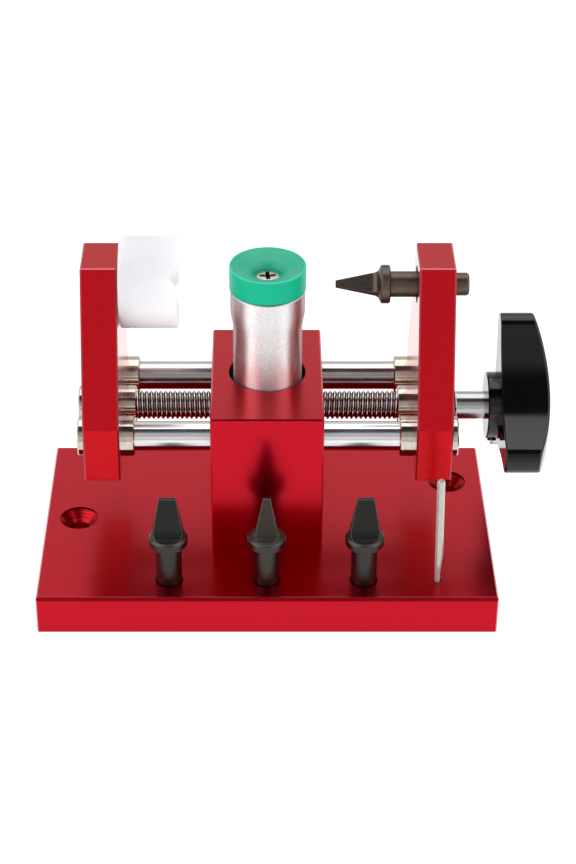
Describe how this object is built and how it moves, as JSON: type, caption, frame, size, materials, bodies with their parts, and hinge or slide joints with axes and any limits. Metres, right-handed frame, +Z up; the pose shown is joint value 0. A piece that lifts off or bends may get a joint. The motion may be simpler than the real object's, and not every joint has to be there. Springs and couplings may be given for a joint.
{
  "type": "watch case opener",
  "caption": "Bench watch case and bezel opener: a knob and two-handed lead screw draw two jaws, one with a vee rest and one with a blade, towards a cup on a post over a red base.",
  "frame": {"origin": "centre of the base plate underside, on the bench", "axes": "+Z up, +X to the right towards the knob, +Y to the back, away from the spare blades"},
  "size_m": [0.1693, 0.089, 0.1148],
  "materials": {
    "red_anodised": "satin red anodised",
    "bright_steel": "polished",
    "nickel": "nickel plated",
    "steel_screw": "machined",
    "black_steel": "black oxide, satin",
    "bronze": "turned",
    "black_knob": "glossy moulded",
    "brass_insert": "turned",
    "white_nylon": "smooth white",
    "blasted_aluminium": "bead blasted",
    "green_plastic": "satin"
  },
  "bodies": {
    "stand": {"base_plate": "red_anodised", "centre_block": "red_anodised", "block_screws": "black_steel", "front_guide_rod": "bright_steel", "rear_guide_rod": "bright_steel", "rod_grub_screws": "black_steel", "screw_bush_left": "bronze", "screw_bush_right": "bronze", "screw_retainer": "black_steel"},
    "spindle": {"lead_screw": "steel_screw", "knob": "black_knob", "knob_insert": "brass_insert", "knob_set_screw": "steel_screw"},
    "left_slide": {"left_jaw": "red_anodised", "left_front_bush": "nickel", "left_rear_bush": "nickel", "left_nut": "nickel", "left_clamp_screw": "black_steel"},
    "right_slide": {"right_jaw": "red_anodised", "right_front_bush": "nickel", "right_rear_bush": "nickel", "right_nut": "nickel", "right_clamp_screw": "black_steel"},
    "rest": {"v_rest": "white_nylon"},
    "blade": {"fitted_blade": "black_steel"},
    "holder": {"holder_post": "blasted_aluminium", "holder_cup": "green_plastic", "cup_screw": "steel_screw"},
    "spare_left": {"spare_blade_left": "black_steel"},
    "spare_middle": {"spare_blade_middle": "black_steel"},
    "spare_right": {"spare_blade_right": "black_steel"},
    "driver": {"cross_driver": "bright_steel"}
  },
  "joints": [
    {"name": "knob_turn", "type": "hinge", "parent": "stand", "child": "spindle", "pos_m": [0, 0.0112, 0.0527], "axis": [-1, 0, 0], "range_deg": [0, 2037.74]},
    {"name": "left_jaw_slide", "type": "slide", "parent": "stand", "child": "left_slide", "axis": [1, 0, 0], "range_m": [0, 0.009]},
    {"name": "right_jaw_slide", "type": "slide", "parent": "stand", "child": "right_slide", "axis": [-1, 0, 0], "range_m": [0, 0.009]},
    {"name": "rest_turn", "type": "hinge", "parent": "left_slide", "child": "rest", "pos_m": [-0.0475, 0.0112, 0.09985], "axis": [1, 0, 0], "continuous": true},
    {"name": "blade_reach", "type": "slide", "parent": "right_slide", "child": "blade", "axis": [1, 0, 0], "range_m": [0, 0.008]},
    {"name": "holder_turn", "type": "hinge", "parent": "stand", "child": "holder", "pos_m": [0.0002, 0.01155, 0.0596], "axis": [0, 0, 1], "continuous": true},
    {"name": "spare_left_lift", "type": "slide", "parent": "stand", "child": "spare_left", "axis": [0, 0, 1], "range_m": [0, 0.016]},
    {"name": "spare_middle_lift", "type": "slide", "parent": "stand", "child": "spare_middle", "axis": [0, 0, 1], "range_m": [0, 0.016]},
    {"name": "spare_right_lift", "type": "slide", "parent": "stand", "child": "spare_right", "axis": [0, 0, 1], "range_m": [0, 0.016]},
    {"name": "driver_lift", "type": "slide", "parent": "stand", "child": "driver", "axis": [0, 0, 1], "range_m": [0, 0.016]}
  ],
  "couplings": [
    {"joint": "left_jaw_slide", "follows": "knob_turn", "m_per_rad": 0.00025306},
    {"joint": "right_jaw_slide", "follows": "knob_turn", "m_per_rad": 0.00025306}
  ]
}
